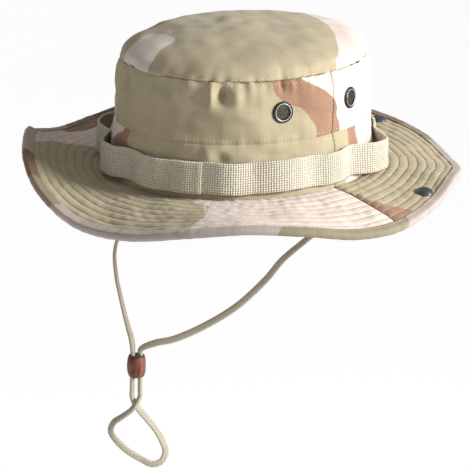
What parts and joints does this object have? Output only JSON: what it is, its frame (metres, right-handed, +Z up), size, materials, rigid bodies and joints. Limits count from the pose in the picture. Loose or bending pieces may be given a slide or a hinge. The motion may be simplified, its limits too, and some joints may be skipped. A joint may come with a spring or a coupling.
{
  "type": "boonie hat",
  "caption": "Soft wide-brim field hat with screened vents, webbing foliage loops, brim snaps and a chin cord with a leather slider.",
  "frame": {"origin": "middle of the head opening, in the plane where the crown is sewn to the brim", "axes": "+Z up through the crown, -Y to the wearer's front, +X to the wearer's left ear"},
  "size_m": [0.2989, 0.3314, 0.3196],
  "materials": {
    "crown_cloth": "matt printed cotton ripstop in khaki, sand and brown",
    "brim_cloth": "matt printed cotton, quilted with rows of stitching",
    "edge_tape": "matt printed cotton tape, folded and stitched",
    "lining": "matt plain cotton",
    "sweatband_cloth": "matt cotton twill",
    "webbing": "matt coarse woven cotton webbing",
    "vent_enamel": "worn black enamel on brass",
    "vent_mesh": "dull woven wire",
    "fitting_brass": "dull aged brass",
    "snap_enamel": "satin dark blue-grey enamel",
    "cord_lace": "matt braided cotton lace",
    "slider_leather": "smooth brown leather with dark edges"
  },
  "bodies": {
    "hat": {"crown_top": "crown_cloth", "crown_side_front": "crown_cloth", "crown_side_back": "crown_cloth", "crown_band_front": "crown_cloth", "crown_band_back": "crown_cloth", "brim_top_front": "brim_cloth", "brim_top_back": "brim_cloth", "brim_under_front": "brim_cloth", "brim_under_back": "brim_cloth", "brim_binding": "edge_tape", "top_seam_binding": "lining", "brim_interlining": "lining", "sweatband": "sweatband_cloth", "foliage_band": "webbing", "cord_anchor_left": "webbing", "cord_anchor_right": "webbing", "vent_flange_left_front": "vent_enamel", "vent_flange_left_rear": "vent_enamel", "vent_flange_right_front": "vent_enamel", "vent_flange_right_rear": "vent_enamel", "vent_screen_left_front": "vent_mesh", "vent_screen_left_rear": "vent_mesh", "vent_screen_right_front": "vent_mesh", "vent_screen_right_rear": "vent_mesh", "vent_washer_left_front": "fitting_brass", "vent_washer_left_rear": "fitting_brass", "vent_washer_right_front": "fitting_brass", "vent_washer_right_rear": "fitting_brass", "snap_socket_left": "fitting_brass", "snap_socket_back": "fitting_brass", "snap_socket_right": "fitting_brass", "snap_cap_left": "snap_enamel", "snap_cap_back": "snap_enamel", "snap_cap_right": "snap_enamel"},
    "strap": {"chin_cord": "cord_lace"},
    "slider": {"cord_slider": "slider_leather"}
  },
  "joints": [
    {"name": "chin_cord_swing", "type": "hinge", "parent": "hat", "child": "strap", "pos_m": [0, 0, -0.011], "axis": [1, 0, 0], "range_deg": [-45, 85]},
    {"name": "slider_slide", "type": "slide", "parent": "strap", "child": "slider", "axis": [0, 0, -1], "range_m": [0, 0.012]}
  ]
}
